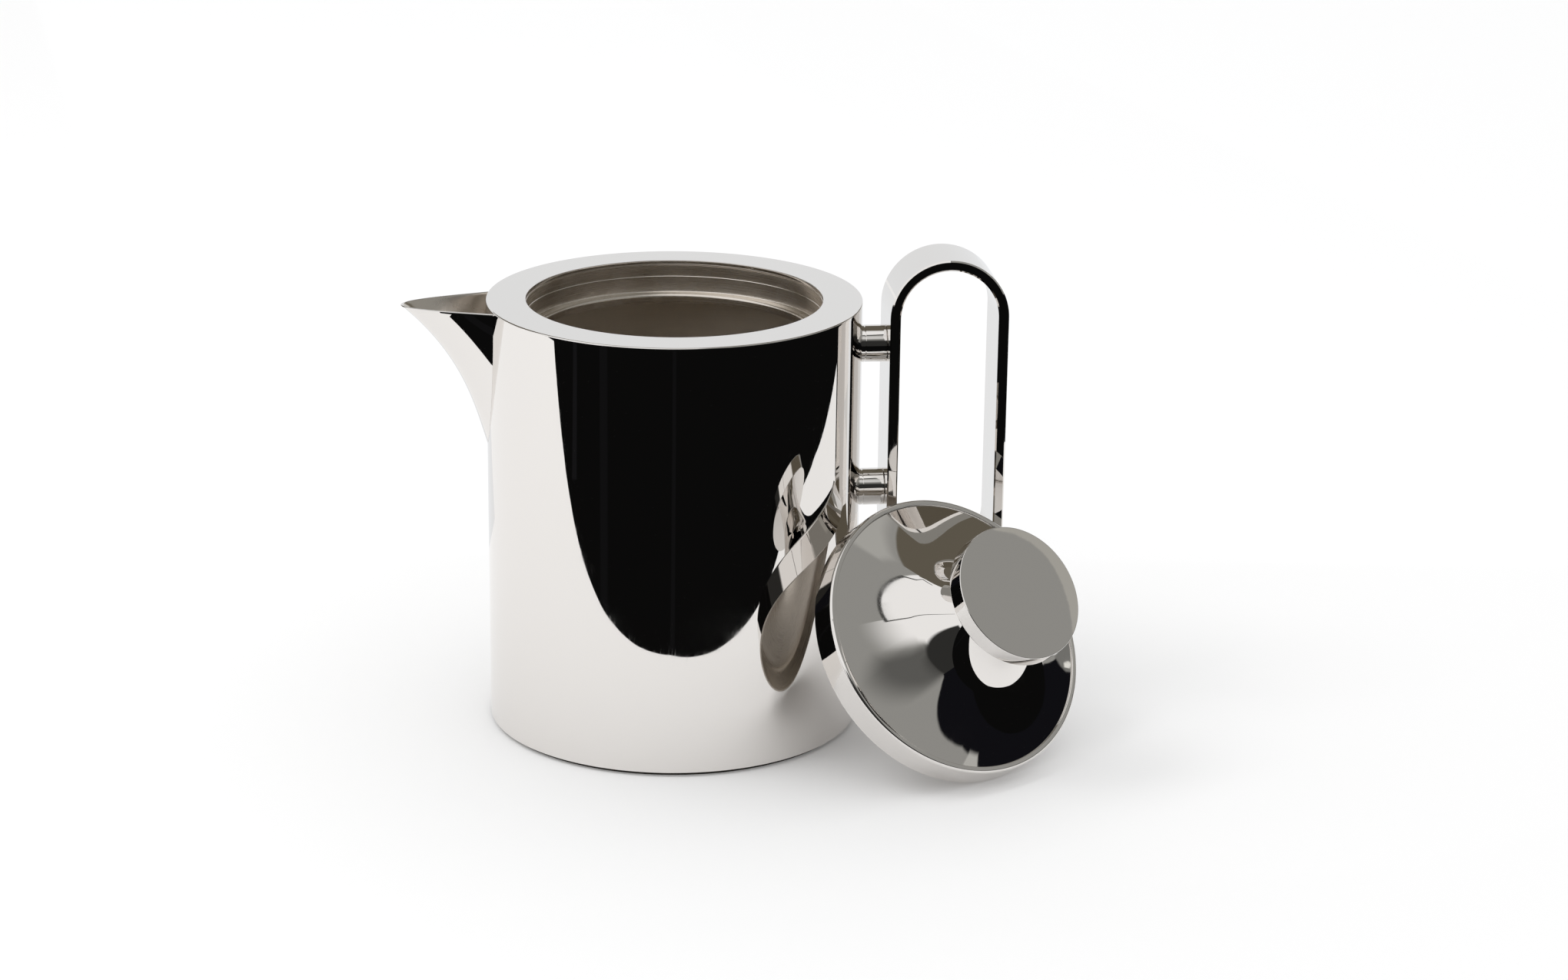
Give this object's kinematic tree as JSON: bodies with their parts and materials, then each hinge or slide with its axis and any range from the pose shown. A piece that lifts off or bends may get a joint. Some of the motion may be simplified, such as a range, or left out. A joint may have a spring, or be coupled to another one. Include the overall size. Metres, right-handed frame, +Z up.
{
  "type": "teapot",
  "caption": "Cylindrical stainless steel teapot with a flat top ring, a folded beak spout, a strap loop handle on two posts, and a flared lift-off lid with a disc knob, resting against the pot",
  "frame": {"origin": "centre of the pot's base plate, on the table", "axes": "+Z up the pot's axis, +X towards the handle, -X towards the spout; the lid leans at -Y, beside the handle"},
  "size_m": [0.1922, 0.1379, 0.1382],
  "materials": {
    "polished_steel": "mirror polished stainless steel",
    "satin_steel": "satin stainless steel"
  },
  "bodies": {
    "pot": {"body_wall": "polished_steel", "base_plate": "polished_steel", "top_ring": "polished_steel", "mouth_collar": "satin_steel", "spout": "polished_steel", "handle_band": "polished_steel", "upper_post": "polished_steel", "lower_post": "polished_steel"},
    "lid": {"lid_cover": "polished_steel", "knob_disc": "polished_steel", "knob_washer": "satin_steel", "knob_screw": "satin_steel"}
  },
  "joints": [
    {"name": "lid_lift", "type": "slide", "parent": "pot", "child": "lid", "axis": [0.4216, -0.6721, 0.6088], "range_m": [0, 0.09]}
  ]
}
